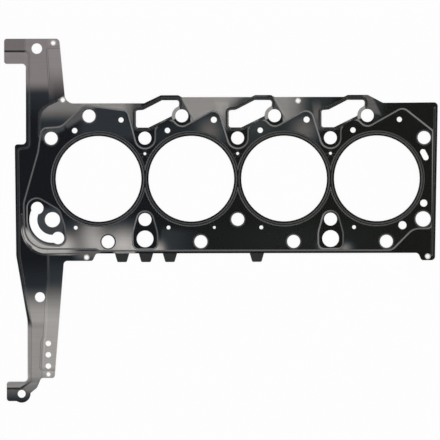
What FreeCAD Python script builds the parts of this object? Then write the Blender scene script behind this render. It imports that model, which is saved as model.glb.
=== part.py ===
import FreeCAD, Part
import math
import os

# Cylinder head gasket for a four-cylinder engine, in millimetres.
# It is built of steel sheets laid on each other: a thick flat carrier sheet in the middle, and a thin
# embossed sheet on either side of it. A thin stopper ring lies on the carrier round each bore, and
# hollow rivets hold the stack together outside the sealed area.
# X runs along the row of cylinders from the timing end, Y across the engine and Z up from the block face.
# The origin is the middle of the row, where the underside rests.

# Sheets
embossed_sheet = 0.25
carrier_sheet = 0.70
stopper_sheet = 0.12
bead_height = 0.25

# Cylinder bores
bore_count = 4
bore_diameter = 91.0
bore_web = 7.5
fire_bead_inset = 3.6
fire_bead_flat = 1.0
fire_bead_width = 3.6
stopper_width = 1.7

# Head bolts, in two rows with a column at each web and at each end
bolt_row = 43.2
bolt_hole = 13.8
end_bolt_outset = 1.0
dowel_hole = 16.1
dowel_inset = 0.2

# Outer bolts, one above and one below each bore
outer_bolt_row = 66.8
outer_bolt_hole = 13.8
outer_bolt_shift = 10.0

# Water holes round each bore, as a distance from the bore's edge and an angle from +X
water_gap = 11.7
inlet_water_hole = 5.8
inlet_water_angle = 116.2
return_water_hole = 4.1
return_water_angle = -115.2
crown_water_gap = 21.5
crown_water_angle = 69.0
crown_water_hole = 6.5
crown_water_hole_ends = 5.5
vent_hole = 3.0
vent_angle = -64.8
vent_bore_index = 1
web_hole = 3.0
web_hole_row = 26.7

# Oil drains under the bolts of the outer webs
drain_hole = 17.8
drain_row = 63.8

# Rear end holes, measured from the last bore
rear_slot_x = 50.5
rear_slot_y = 25.0
rear_slot_width = 6.0
rear_slot_length = 12.6
rear_slot_angle = 117.0
rear_oil_x = 49.7
rear_oil_y = -26.4
rear_oil_hole = 7.6
rear_water_x = 27.1
rear_water_y = -49.8
rear_water_hole = 8.6

# Curved water slot round the front dowel
kidney_inner_radius = 16.1
kidney_outer_radius = 24.5
kidney_start_angle = 142.5
kidney_end_angle = 286.7
kidney_lobe_radius = 6.6

# Side slots between the head bolts and the outer bolts, with corners measured from the head bolt
# as x, y and the corner's radius
slot_left = [(-9.4, 11.2, 2.5), (-9.4, 29.2, 2.0), (-1.6, 30.0, 6.0)]
slot_top = 40.2
slot_top_start = 18.2
slot_top_end = 36.8
slot_corner_radius = 3.0
slot_neck_y = 33.9
slot_neck_inset = 0.6
slot_neck_radius = 1.0
slot_foot_end = 3.9
slot_foot_drop = 0.2
slot_collar = 3.7
collar_start_angle = 118.0
collar_end_angle = 178.0
collar_cut_start_angle = 104.0
collar_cut_end_angle = 204.0
slot_frame = 5.3
slot_bead_inset = 2.3

# Deck outline
top_margin = 13.4
cover_rail_margin = 19.8
bottom_edge = 79.2
front_reach = 88.9
front_reach_low = 87.6
front_low_y = 81.3
front_shoulder_y = 36.9
rear_reach_top = 64.9
rear_reach_bottom = 61.5
edge_radius = 4.0
small_radius = 3.0
sweep_radius = 20.0
ankle_radius = 7.0
rear_lean = 0.4
frame_rise_start = 14.3
frame_rise_end = 18.6
frame_fall_start = 35.6
frame_fall_end = 39.4
first_frame_start = -0.9
first_frame_end = 17.0
last_frame_end = 39.8
last_frame_foot = 55.9

# Tabs that carry rivets below the deck
tab_drop = 7.8
front_tab_start = 37.0
front_tab_end = 6.6
front_tab_foot = 2.8
rear_tab_start = 43.7
rear_tab_end = 47.1

# Timing cover wing above the deck, measured back from the first bore
wing_top = 149.0
arm_bottom = 122.4
arm_reach = 100.0
stem_reach = 77.0
wing_rear_top = 41.5
wing_rear_foot = 35.0
wing_fillet = 9.5

# Timing cover leg below the deck, and its foot
leg_front = 75.7
leg_shoulder_y = 150.4
leg_rear_foot = 47.1
leg_bottom = 211.2
ankle_reach = 61.4
ankle_x = 65.8
ankle_y = 221.6
foot_neck_x = 72.9
foot_neck_y = 227.4
foot_top = 215.0
foot_bottom = 235.7
foot_reach = 97.9
foot_ear_radius = 9.4

# Timing cover bolt holes, as x back from the first bore, y and diameter
wing_bolt = (65.3, 138.5, 11.2)
leg_bolt = (62.5, -125.4, 10.6)
foot_bolt = (82.1, -228.0, 8.4)

# Thickness marks: a row of holes in the leg, and teeth on the carrier's lower edge
mark_hole = 5.9
mark_hole_count = 3
mark_hole_first = (53.75, -174.6)
mark_hole_pitch = 12.0
tooth_count = 3
tooth_first = 24.8
tooth_pitch = 25.4
tooth_root = 15.2
tooth_tip = 9.8
tooth_height = 9.2
tooth_radius = 1.6
single_tooth_from_rear = -127.6

# Rivets, each measured from the corner of the outline that it holds down, and their own sizes
wing_rivet = (-6.4, -4.6)
wing_foot_rivet = (-2.8, 3.7)
rail_rivet = (24.85, -4.0)
front_tab_rivet = (-6.3, 3.7)
rear_tab_rivet = (6.7, 4.1)
leg_rivet = (-6.5, 3.9)
rivet_hole = 4.6
rivet_wall = 0.3
rivet_head = 6.2
rivet_head_height = 0.15
rivet_clearance = 0.02

# Beads: half beads are one ramp, and line beads are narrow ridges with a flat crest
half_bead_width = 2.4
line_bead_width = 2.4
line_bead_flat = 0.8
bead_run_out = 1.5
bolt_bead_gap = 4.2
ring_bead_gap = 0.9
ring_land = 0.3
edge_bead_gap = 3.3
rivet_bead_gap = 2.4
rivet_bead_side_gap = 0.6
rivet_bead_drop = 0.6

# Half bead round the water jacket, as corners with x, y and radius, clockwise from the front: the top
# stretches are measured from a bore and the upper bolt row, the low ones from an end bore and the lower
# bolt row or the bottom edge, and the short ones beside a web from its head bolt
jacket_front_top = [(-64.3, -15.2, 25.0), (-60.6, 10.7, 7.0), (-39.7, 12.0, 12.0), (-15.4, 35.1, 9.0),
                    (30.6, 29.0, 6.0)]
jacket_beside_web = [(11.1, 9.6, 5.0), (19.2, 18.6, 6.0), (29.4, 18.9, 5.0)]
jacket_beside_outer = (28.0, 32.2, 8.0)
jacket_rear_top = (59.6, 7.2, 3.0)
jacket_rear_low = [(59.0, -10.2, 6.0), (38.6, -10.2, 15.0)]
jacket_bottom_gap = 2.9
jacket_bottom_rear = (15.8, 0.0, 10.0)
jacket_bottom_front = [(1.2, 0.0, 4.0), (-3.2, 2.0, 4.0), (-77.9, 2.0, 23.5)]
jacket_front_low = (-79.7, 17.2, 25.0)
head_bolt_bend = (200.0, 360.0)
outer_bolt_bend = (236.0, 298.0)

# Beads round the dry islands, measured from a lower head bolt and from the front dowel
drain_bead_low = [(13.3, -14.0, 20.0), (13.2, -31.4, 6.0), (-13.0, -31.4, 6.0), (-13.1, -14.0, 20.0)]
drain_bead_gap = 2.0
drain_bend = (165.0, 15.0)
kidney_bead_side = [(7.4, 10.2, 9.0), (13.2, -6.8, 30.0)]
kidney_bead_gap = 2.5
kidney_lobe_bead_gap = 2.0
kidney_bend = (270.0, 180.0)
kidney_start_bend = (180.0, 65.0)
kidney_end_bend = (0.0, -94.0)

# Line beads of the timing cover joint, as corners with x from the first bore, y and radius
wing_line_top = -54.6
wing_line_foot = (-51.9, 93.0)
wing_foot_line = [(-63.0, 73.6, 12.0), (-63.0, 46.0, 3.0)]
corner_line = [(-81.9, -38.0, 3.0), (-81.9, -80.4, 28.0), (-23.8, -80.4, 3.0)]
leg_line = [(-53.7, -80.4, 3.0), (-53.7, -108.0, 10.0), (-55.5, -124.0, 10.0), (-58.4, -167.0, 4.0),
            (-60.9, -172.0, 4.0), (-62.2, -202.6, 3.0)]
foot_line = (-83.4, -222.4)
stem_line_drop = 2.0
rear_line_top = 74.0
rear_line_foot = 2.0

# Cutting solids reach past the sheets by this much, and paths bend round circles in steps
cut_past = 1.0
bend_step = 60.0
slab_span = 800.0

bore_radius = bore_diameter / 2
bore_pitch = bore_diameter + bore_web
first_bore = -bore_pitch * (bore_count - 1) / 2
last_bore = -first_bore
carrier_bottom = bead_height + embossed_sheet
carrier_top = carrier_bottom + carrier_sheet
deck_top = outer_bolt_row + top_margin
rail_top = outer_bolt_row + cover_rail_margin
tab_low = -bottom_edge - tab_drop
overhang = 10.0


def bore_places():
    return [first_bore + bore_pitch * i for i in range(bore_count)]


def web_places():
    return [first_bore + bore_pitch * (i + 0.5) for i in range(bore_count - 1)]


def front_end():
    return first_bore - bore_pitch / 2


def rear_end():
    return last_bore + bore_pitch / 2


def polar(centre, radius, degrees):
    angle = math.radians(degrees)
    return (centre[0] + radius * math.cos(angle), centre[1] + radius * math.sin(angle))


# Corners that wrap a path round a circle, from one angle to another, each with the circle's radius
def bend_round(centre, radius, start, end):
    steps = max(1, math.ceil(abs(end - start) / bend_step))
    turn = (end - start) / steps
    reach = radius / math.cos(math.radians(turn / 2))
    corners = []
    for i in range(steps):
        x, y = polar(centre, reach, start + turn * (i + 0.5))
        corners.append((x, y, radius))
    return corners


def moved(corners, x, y):
    return [(x + dx, y + dy, radius) for dx, dy, radius in corners]


# Radii that fit the straight runs between the corners
def fitting_radii(corners, closed):
    count = len(corners)
    reaches = [0.0] * count
    inner = range(count) if closed else range(1, count - 1)
    for i in inner:
        reaches[i] = corners[i][2] * math.tan(abs(turn_at(corners, i)) / 2)
    scale = [1.0] * count
    for i in range(count if closed else count - 1):
        j = (i + 1) % count
        run = math.dist(corners[i][:2], corners[j][:2])
        used = reaches[i] + reaches[j]
        if used > run:
            scale[i] = min(scale[i], run / used)
            scale[j] = min(scale[j], run / used)
    return [corners[i][2] * scale[i] for i in range(count)]


def heading(a, b):
    run = math.dist(a[:2], b[:2])
    return ((b[0] - a[0]) / run, (b[1] - a[1]) / run)


def turn_at(corners, i):
    into = heading(corners[i - 1], corners[i])
    out = heading(corners[i], corners[(i + 1) % len(corners)])
    cross = into[0] * out[1] - into[1] * out[0]
    dot = into[0] * out[0] + into[1] * out[1]
    return math.atan2(cross, dot)


def lengthened(corners, reach):
    ends = []
    for end, inner in ((corners[0], corners[1]), (corners[-1], corners[-2])):
        along = heading(inner, end)
        ends.append((end[0] + along[0] * reach, end[1] + along[1] * reach, end[2]))
    return [ends[0]] + corners[1:-1] + [ends[1]]


# Straight and round pieces of a path that is moved sideways to its left
def path_pieces(corners, closed, side):
    radii = fitting_radii(corners, closed)
    count = len(corners)
    pieces = []
    last = None
    first = None
    for i in range(count):
        x, y = corners[i][0], corners[i][1]
        if not closed and i in (0, count - 1):
            along = heading(corners[0], corners[1]) if i == 0 else heading(corners[-2], corners[-1])
            start = end = (x - along[1] * side, y + along[0] * side)
            middle = None
        else:
            into = heading(corners[i - 1], corners[i])
            out = heading(corners[i], corners[(i + 1) % count])
            turn = turn_at(corners, i)
            reach = radii[i] * math.tan(abs(turn) / 2)
            start = (x - into[0] * reach - into[1] * side, y - into[1] * reach + into[0] * side)
            end = (x + out[0] * reach - out[1] * side, y + out[1] * reach + out[0] * side)
            middle = None
            if abs(turn) > 1e-4:
                hand = 1.0 if turn > 0 else -1.0
                centre = (x - into[0] * reach - into[1] * radii[i] * hand,
                          y - into[1] * reach + into[0] * radii[i] * hand)
                away = heading(centre, (x, y))
                radius = radii[i] - hand * side
                middle = (centre[0] + away[0] * radius, centre[1] + away[1] * radius)
        if last is not None and math.dist(last, start) > 1e-4:
            pieces.append((last, start))
        if middle is not None:
            pieces.append((start, middle, end))
        if first is None:
            first = start
        last = end
    if closed and math.dist(last, first) > 1e-4:
        pieces.append((last, first))
    return pieces


def piece_edges(pieces, z):
    edges = []
    for piece in pieces:
        points = [FreeCAD.Vector(x, y, z) for x, y in piece]
        if len(points) == 2:
            edges.append(Part.LineSegment(points[0], points[1]).toShape())
        else:
            edges.append(Part.Arc(points[0], points[1], points[2]).toShape())
    return edges


# How far round the path turns tells which side is the inside
def inward(corners):
    area = 0.0
    for i, here in enumerate(corners):
        before = corners[i - 1]
        area += before[0] * here[1] - here[0] * before[1]
    return 1.0 if area > 0 else -1.0


def loop_wire(corners, grow, z):
    return Part.Wire(piece_edges(path_pieces(corners, True, -grow * inward(corners)), z))


# Outline of a band that follows an open path
def band_wire(corners, half_width, z):
    left = path_pieces(corners, False, half_width)
    right = [tuple(reversed(piece)) for piece in reversed(path_pieces(corners, False, -half_width))]
    caps = [(left[-1][-1], right[0][0])], [(right[-1][-1], left[0][0])]
    return Part.Wire(piece_edges(left + caps[0] + right + caps[1], z))


def prism(corners, low, high):
    face = Part.Face(loop_wire(corners, 0.0, low))
    return face.extrude(FreeCAD.Vector(0, 0, high - low))


def sloped(wire_low, wire_high):
    return Part.makeLoft([wire_low, wire_high], True, True)


def cylinder(place, diameter, low, high):
    return Part.makeCylinder(diameter / 2, high - low, FreeCAD.Vector(place[0], place[1], low))


def tube(place, inner, outer, low, high):
    return cylinder(place, outer, low, high).cut(cylinder(place, inner, low - cut_past, high + cut_past))


# Where the holes go, each as its place and diameter
def head_bolts():
    places = [(x, side * bolt_row) for x in web_places() for side in (1, -1)]
    places += [(front_end() - end_bolt_outset, bolt_row), (rear_end() + end_bolt_outset, bolt_row)]
    return places


def dowels():
    return [(front_end() + dowel_inset, -bolt_row), (rear_end() - dowel_inset, -bolt_row)]


def upper_outer_bolts():
    return [(x - outer_bolt_shift, outer_bolt_row) for x in bore_places()]


def outer_bolt_after(x):
    return (x + bore_pitch / 2 - outer_bolt_shift, outer_bolt_row)


def lower_outer_bolts():
    return [(x + outer_bolt_shift, -outer_bolt_row) for x in bore_places()]


def drains():
    return [(web_places()[0], -drain_row), (web_places()[-1], -drain_row)]


def water_holes():
    holes = []
    for i, x in enumerate(bore_places()):
        ring = bore_radius + water_gap
        at_end = i in (0, bore_count - 1)
        crown = crown_water_hole_ends if at_end else crown_water_hole
        holes.append((polar((x, 0), ring, inlet_water_angle), inlet_water_hole))
        holes.append((polar((x, 0), ring, return_water_angle), return_water_hole))
        holes.append((polar((x, 0), bore_radius + crown_water_gap, crown_water_angle), crown))
    vent = bore_places()[vent_bore_index]
    holes.append((polar((vent, 0), bore_radius + water_gap, vent_angle), vent_hole))
    holes += [((x, web_hole_row), web_hole) for x in web_places()]
    holes.append(((last_bore + rear_water_x, rear_water_y), rear_water_hole))
    return holes


def timing_holes():
    holes = []
    for back, y, diameter in (wing_bolt, leg_bolt, foot_bolt):
        holes.append(((first_bore - back, y), diameter))
    for i in range(mark_hole_count):
        place = (first_bore - mark_hole_first[0], mark_hole_first[1] - mark_hole_pitch * i)
        holes.append((place, mark_hole))
    return holes


def rivets():
    rear_rail = web_places()[1] + frame_fall_end
    corners = [
        (first_bore - wing_rear_top, wing_top, wing_rivet),
        (first_bore - wing_rear_foot, deck_top, wing_foot_rivet),
        (rear_rail, rail_top, rail_rivet),
        (first_bore - front_tab_end, tab_low, front_tab_rivet),
        (last_bore + rear_tab_end, tab_low, rear_tab_rivet),
        (first_bore - leg_rear_foot, -leg_bottom, leg_rivet),
    ]
    return [(x + dx, y + dy) for x, y, (dx, dy) in corners]


def round_holes():
    holes = [((x, 0.0), bore_diameter) for x in bore_places()]
    holes += [(place, bolt_hole) for place in head_bolts()]
    holes += [(place, dowel_hole) for place in dowels()]
    holes += [(place, outer_bolt_hole) for place in upper_outer_bolts() + lower_outer_bolts()]
    holes += [(place, drain_hole) for place in drains()]
    holes += [(place, rivet_hole) for place in rivets()]
    holes.append(((last_bore + rear_oil_x, rear_oil_y), rear_oil_hole))
    return holes + water_holes() + timing_holes()


# The concave stretch keeps a collar of even width round the outer bolt beside the slot
def slot_corners(x):
    outer = outer_bolt_after(x)
    collar = outer_bolt_hole / 2 + slot_collar
    top = bolt_row + slot_top
    corners = moved(slot_left, x, bolt_row)
    corners.append((x + slot_top_start, top, slot_corner_radius))
    corners.append((x + slot_top_end, top, slot_corner_radius))
    corners.append((x + slot_top_end - slot_neck_inset, bolt_row + slot_neck_y, slot_neck_radius))
    corners += bend_round(outer, collar, collar_start_angle, collar_end_angle)
    corners.append((outer[0] - collar, outer[1] - slot_foot_drop, slot_neck_radius))
    corners.append((x + slot_foot_end, bolt_row + slot_left[0][1], slot_corner_radius))
    return corners


def kidney_lobe(angle):
    return polar(dowels()[0], (kidney_inner_radius + kidney_outer_radius) / 2, angle)


def kidney(low, high):
    dowel = dowels()[0]
    sweep = kidney_end_angle - kidney_start_angle
    up = FreeCAD.Vector(0, 0, 1)
    base = FreeCAD.Vector(dowel[0], dowel[1], low)
    band = Part.makeCylinder(kidney_outer_radius, high - low, base, up, sweep)
    band = band.cut(Part.makeCylinder(kidney_inner_radius, high - low, base))
    band.rotate(base, up, kidney_start_angle)
    for angle in (kidney_start_angle, kidney_end_angle):
        band = band.fuse(cylinder(kidney_lobe(angle), 2 * kidney_lobe_radius, low, high))
    return band


def rear_slot(low, high):
    centre = (last_bore + rear_slot_x, rear_slot_y)
    half = (rear_slot_length - rear_slot_width) / 2
    ends = [polar(centre, half, rear_slot_angle), polar(centre, -half, rear_slot_angle)]
    wire = band_wire([(x, y, 0.0) for x, y in ends], rear_slot_width / 2, low)
    slot = Part.Face(wire).extrude(FreeCAD.Vector(0, 0, high - low))
    for end in ends:
        slot = slot.fuse(cylinder(end, rear_slot_width, low, high))
    return slot


def all_openings(low, high):
    cuts = [cylinder(place, diameter, low, high) for place, diameter in round_holes()]
    cuts += [prism(slot_corners(x), low, high) for x in web_places()]
    cuts += [kidney(low, high), rear_slot(low, high)]
    return cuts


# Outline of the deck with the wing above it and the leg below it, clockwise from the wing's top corner
def outline_corners():
    front = first_bore
    rear = last_bore
    webs = web_places()
    frame_top = bolt_row + slot_top + slot_frame
    corners = [
        (front - arm_reach, wing_top, small_radius),
        (front - wing_rear_top, wing_top, edge_radius),
        (front - wing_rear_foot, deck_top, wing_fillet),
        (webs[0] + first_frame_start, deck_top, edge_radius),
        (webs[0] + first_frame_end, frame_top, edge_radius),
    ]
    for here, after in zip(webs, webs[1:]):
        corners += [
            (here + frame_fall_start, frame_top, small_radius),
            (here + frame_fall_end, rail_top, small_radius),
            (after + frame_rise_start, rail_top, small_radius),
            (after + frame_rise_end, frame_top, small_radius),
        ]
    corners += [
        (webs[-1] + last_frame_end, frame_top, edge_radius),
        (webs[-1] + last_frame_foot, deck_top, edge_radius),
        (rear + rear_reach_top, deck_top + rear_lean, edge_radius),
        (rear + rear_reach_bottom, tab_low, edge_radius),
        (rear + rear_tab_end, tab_low, small_radius),
        (rear + rear_tab_start, -bottom_edge, edge_radius),
        (front - front_tab_foot, -bottom_edge, small_radius),
        (front - front_tab_end, tab_low, small_radius),
        (front - front_tab_start, tab_low, edge_radius),
        (front - leg_rear_foot, -leg_bottom, small_radius),
        (front - ankle_reach, -leg_bottom, small_radius),
        (front - ankle_x, -ankle_y, ankle_radius),
        (front - foot_neck_x, -foot_neck_y, small_radius),
        (front - foot_bolt[0], foot_bolt[1], small_radius),
        (front - foot_bolt[0], -foot_bottom, small_radius),
        (front - foot_reach, -foot_bottom, small_radius),
        (front - foot_reach, -foot_top, small_radius),
        (front - leg_front, -foot_top, edge_radius),
        (front - leg_front, -leg_shoulder_y, sweep_radius),
        (front - front_reach_low, -front_low_y, sweep_radius),
        (front - front_reach, front_shoulder_y, small_radius),
        (front - stem_reach, front_shoulder_y, edge_radius),
        (front - stem_reach, arm_bottom, edge_radius),
        (front - arm_reach, arm_bottom, small_radius),
    ]
    return corners


def blank(low, high):
    body = prism(outline_corners(), low, high)
    ear = cylinder((first_bore - foot_bolt[0], foot_bolt[1]), 2 * foot_ear_radius, low, high)
    return body.fuse(ear).removeSplitter()


# The half bead round the water jacket: it passes under the upper bolts, which stay dry
def jacket_corners():
    webs = web_places()
    bottom = -(bottom_edge - jacket_bottom_gap)
    corners = moved(jacket_front_top, first_bore, bolt_row)
    for x in webs:
        corners += bend_round((x, bolt_row), bolt_hole / 2 + bolt_bead_gap, *head_bolt_bend)
        corners += moved(jacket_beside_web, x, bolt_row)
        corners += bend_round(outer_bolt_after(x), outer_bolt_hole / 2 + bolt_bead_gap, *outer_bolt_bend)
        corners += moved([jacket_beside_outer], x + bore_pitch / 2, bolt_row)
    corners += moved([jacket_rear_top], last_bore, bolt_row)
    corners += moved(jacket_rear_low, last_bore, -bolt_row)
    corners += moved([jacket_bottom_rear], last_bore, bottom)
    corners += moved(jacket_bottom_front, first_bore, bottom)
    corners += moved([jacket_front_low], first_bore, -bolt_row)
    return corners


# The bead round the front dowel follows the curved slot, and keeps wider of its upper end
def kidney_bead():
    dowel = dowels()[0]
    start, end = kidney_lobe(kidney_start_angle), kidney_lobe(kidney_end_angle)
    corners = bend_round(start, kidney_lobe_radius + bolt_bead_gap, *kidney_start_bend)
    corners += moved(kidney_bead_side, *dowel)
    corners += bend_round(end, kidney_lobe_radius + kidney_lobe_bead_gap, *kidney_end_bend)
    corners += bend_round(dowel, kidney_outer_radius + kidney_bead_gap, *kidney_bend)
    return corners


# The bead round a drain takes in the head bolt above it
def drain_bead(x):
    bolt = (x, -bolt_row)
    return bend_round(bolt, bolt_hole / 2 + drain_bead_gap, *drain_bend) + moved(drain_bead_low, *bolt)


# Bolts and a dowel inside the jacket, each with its own ring to keep it dry
def island_rings():
    rings = [(place, bolt_hole) for place in head_bolts() if place[1] < 0 and abs(place[0]) < bore_pitch / 2]
    rings += [(place, bolt_hole) for place in head_bolts()[-2:]]
    rings += [(upper_outer_bolts()[0], outer_bolt_hole), (dowels()[1], dowel_hole)]
    rings += [(place, outer_bolt_hole) for place in lower_outer_bolts()]
    return rings


# The line beads run off the edge of the sheet where they reach it
def timing_front_bead():
    front = first_bore
    stem = front - stem_reach + edge_bead_gap
    leg = front - leg_front + edge_bead_gap
    arm = (wing_top + arm_bottom) / 2
    shoulder = front_shoulder_y - edge_bead_gap
    return [
        (front - arm_reach - overhang, arm, small_radius),
        (stem, arm, edge_radius),
        (stem, shoulder, edge_radius),
        (front - front_reach + edge_bead_gap, shoulder - stem_line_drop, small_radius),
        (front - front_reach_low + edge_bead_gap, -front_low_y, sweep_radius),
        (leg, -leg_shoulder_y, sweep_radius),
        (leg, -foot_top, edge_radius),
        (front + foot_line[0], foot_line[1], edge_radius),
        (front - foot_reach - overhang, foot_line[1], small_radius),
    ]


def wing_rear_bead():
    head = rivets()[0]
    top = head[1] - rivet_head / 2 - rivet_bead_side_gap - line_bead_width / 2
    return [
        (head[0] + overhang, top, small_radius),
        (first_bore + wing_line_top, top, small_radius),
        (first_bore + wing_line_foot[0], wing_line_foot[1], small_radius),
    ]


def wing_foot_bead():
    head = rivets()[1]
    start = (head[0] - rivet_head / 2 - rivet_bead_gap, head[1] - rivet_bead_drop, small_radius)
    return [start] + moved(wing_foot_line, first_bore, 0.0)


def leg_bead():
    last = leg_line[-1]
    off_edge = (first_bore - leg_rear_foot + overhang, last[1], last[2])
    return moved(leg_line, first_bore, 0.0) + [off_edge]


def rear_edge_bead():
    return [
        (last_bore + rear_reach_top - edge_bead_gap, rear_line_top, small_radius),
        (last_bore + rear_reach_bottom - edge_bead_gap, -bottom_edge - rear_line_foot, small_radius),
    ]


def line_beads():
    corner = moved(corner_line, first_bore, 0.0)
    return [timing_front_bead(), wing_rear_bead(), wing_foot_bead(), corner, leg_bead(), rear_edge_bead()]


def plateau(corners, low, high):
    half = half_bead_width / 2
    return sloped(loop_wire(corners, half, low), loop_wire(corners, -half, high))


def pocket(corners, low, high):
    half = half_bead_width / 2
    return sloped(loop_wire(corners, -half, low), loop_wire(corners, half, high))


def ring_pocket(place, diameter, low, high):
    radius = diameter / 2 + ring_bead_gap
    half = ring_bead_gap - ring_land
    base = FreeCAD.Vector(place[0], place[1], low)
    return Part.makeCone(radius - half, radius + half, high - low, base)


def loop_ridge(corners, grow, low, high):
    foot = line_bead_width / 2
    flat = line_bead_flat / 2
    outside = sloped(loop_wire(corners, grow + foot, low), loop_wire(corners, grow + flat, high))
    inside = sloped(loop_wire(corners, grow - foot, low), loop_wire(corners, grow - flat, high))
    return outside.cut(inside)


# A line bead's crest stops short of its foot, so that it fades out at an open end
def line_ridge(corners, low, high):
    foot = band_wire(lengthened(corners, bead_run_out), line_bead_width / 2, low)
    return sloped(foot, band_wire(corners, line_bead_flat / 2, high))


# The fire bead runs round each bore as a groove that presses on the carrier
def fire_groove(x, low, high):
    radius = bore_radius + fire_bead_inset
    flat = fire_bead_flat / 2
    half = fire_bead_width / 2
    points = [(radius - flat, low), (radius + flat, low), (radius + half, high), (radius - half, high)]
    section = Part.makePolygon([FreeCAD.Vector(x + r, 0, z) for r, z in points + points[:1]])
    return Part.Face(section).revolve(FreeCAD.Vector(x, 0, 0), FreeCAD.Vector(0, 0, 1), 360)


# Upper surface of an embossed sheet, as the top of a solid that reaches down past the sheet
def relief(low):
    high = low + bead_height
    raised = plateau(jacket_corners(), low, high)
    hollows = [pocket(drain_bead(x), low, high) for x, y in drains()]
    hollows.append(pocket(kidney_bead(), low, high))
    hollows += [ring_pocket(place, diameter, low, high) for place, diameter in island_rings()]
    hollows += [fire_groove(x, low, high) for x in bore_places()]
    raised = raised.cut(hollows)
    ridges = [loop_ridge(slot_corners(x), slot_bead_inset, low, high) for x in web_places()]
    ridges += [line_ridge(corners, low, high) for corners in line_beads()]
    corner = FreeCAD.Vector(-slab_span / 2, -slab_span / 2, low - cut_past)
    slab = Part.makeBox(slab_span, slab_span, cut_past, corner)
    return slab.fuse([raised] + ridges)


def upper_layer():
    top = carrier_top + embossed_sheet
    surface = relief(top)
    under = surface.translated(FreeCAD.Vector(0, 0, -embossed_sheet))
    sheet = blank(carrier_top, top + bead_height).common(surface).cut(under)
    low, high = carrier_top - cut_past, top + cut_past
    cuts = all_openings(low, high)
    cuts += [collar_cut(x, low, high) for x in web_places()]
    return sheet.cut(cuts)


# The embossed sheets stop short of the collar beside each slot, where the bare carrier shows
def collar_cut(x, low, high):
    base = FreeCAD.Vector(*outer_bolt_after(x), low)
    up = FreeCAD.Vector(0, 0, 1)
    sweep = collar_cut_end_angle - collar_cut_start_angle
    sector = Part.makeCylinder(outer_bolt_hole / 2 + slot_collar, high - low, base, up, sweep)
    sector.rotate(base, up, collar_cut_start_angle)
    return sector


def lower_layer(upper):
    middle = (carrier_bottom + carrier_top) / 2
    return upper.mirror(FreeCAD.Vector(0, 0, middle), FreeCAD.Vector(0, 0, 1))


def tooth(x):
    root = tooth_root / 2
    tip = tooth_tip / 2
    low = -bottom_edge - tooth_height
    high = -bottom_edge + overhang / 2
    sides = [(x - root, high), (x + root, high), (x + root, -bottom_edge), (x + tip, low), (x - tip, low),
             (x - root, -bottom_edge)]
    return [(px, py, tooth_radius) for px, py in sides]


def carrier_layer():
    body = blank(carrier_bottom, carrier_top)
    places = [first_bore + tooth_first + tooth_pitch * i for i in range(tooth_count)]
    places.append(last_bore + single_tooth_from_rear)
    body = body.fuse([prism(tooth(x), carrier_bottom, carrier_top) for x in places])
    return body.cut(all_openings(carrier_bottom - cut_past, carrier_top + cut_past)).removeSplitter()


def stopper_ring(x):
    outer = bore_diameter + 2 * stopper_width
    return tube((x, 0), bore_diameter, outer, carrier_top, carrier_top + stopper_sheet)


def rivet(place):
    low = carrier_bottom - embossed_sheet
    high = carrier_top + embossed_sheet
    outer = rivet_hole - 2 * rivet_clearance
    inner = rivet_hole - 2 * rivet_wall
    body = cylinder(place, outer, low - rivet_head_height, high + rivet_head_height)
    body = body.fuse(cylinder(place, rivet_head, high, high + rivet_head_height))
    body = body.fuse(cylinder(place, rivet_head, low - rivet_head_height, low))
    return body.cut(cylinder(place, inner, low - cut_past, high + cut_past)).removeSplitter()


def write(name, shape):
    solid = shape.Solids[0] if len(shape.Solids) == 1 else shape
    solid.exportStep("parts/" + name + ".step")
    print(name, len(shape.Solids), solid.isValid(), round(shape.Volume, 2))


os.makedirs("parts", exist_ok=True)
upper = upper_layer()
write("upper_layer", upper)
write("lower_layer", lower_layer(upper))
write("carrier_layer", carrier_layer())
for number, x in enumerate(bore_places(), 1):
    write("stopper_ring_%d" % number, stopper_ring(x))
for number, place in enumerate(rivets(), 1):
    write("rivet_%d" % number, rivet(place))
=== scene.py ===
import bpy
import bmesh
import math
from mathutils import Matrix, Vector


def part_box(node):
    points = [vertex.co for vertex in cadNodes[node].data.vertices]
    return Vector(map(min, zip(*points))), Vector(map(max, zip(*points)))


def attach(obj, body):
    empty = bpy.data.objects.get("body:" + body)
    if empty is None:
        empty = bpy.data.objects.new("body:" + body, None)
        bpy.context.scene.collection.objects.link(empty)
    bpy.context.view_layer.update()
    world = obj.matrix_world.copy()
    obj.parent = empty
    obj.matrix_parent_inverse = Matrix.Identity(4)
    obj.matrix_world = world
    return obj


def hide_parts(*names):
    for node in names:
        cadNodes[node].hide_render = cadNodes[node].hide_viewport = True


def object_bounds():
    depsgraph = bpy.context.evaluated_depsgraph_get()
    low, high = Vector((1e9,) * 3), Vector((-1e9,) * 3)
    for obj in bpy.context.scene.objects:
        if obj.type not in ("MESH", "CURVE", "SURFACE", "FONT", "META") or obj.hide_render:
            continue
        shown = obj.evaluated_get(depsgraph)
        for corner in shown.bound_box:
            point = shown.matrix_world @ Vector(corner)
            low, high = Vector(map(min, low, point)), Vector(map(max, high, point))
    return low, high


# Cylinder head gasket lying flat, seen from straight above. All lengths are in metres.

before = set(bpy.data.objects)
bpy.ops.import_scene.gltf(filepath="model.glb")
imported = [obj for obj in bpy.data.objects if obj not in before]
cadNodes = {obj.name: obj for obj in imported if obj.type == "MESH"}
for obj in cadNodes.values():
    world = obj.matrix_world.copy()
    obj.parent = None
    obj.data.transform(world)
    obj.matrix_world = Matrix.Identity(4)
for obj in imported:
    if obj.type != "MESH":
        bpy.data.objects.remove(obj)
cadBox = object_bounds()
mm = 0.001
print("frame loaded:", len(cadNodes), "nodes")


def hexColour(text):
    channels = [int(text[i:i + 2], 16) / 255 for i in (0, 2, 4)]
    return [c / 12.92 if c <= 0.04045 else ((c + 0.055) / 1.055) ** 2.4 for c in channels] + [1.0]


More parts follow.
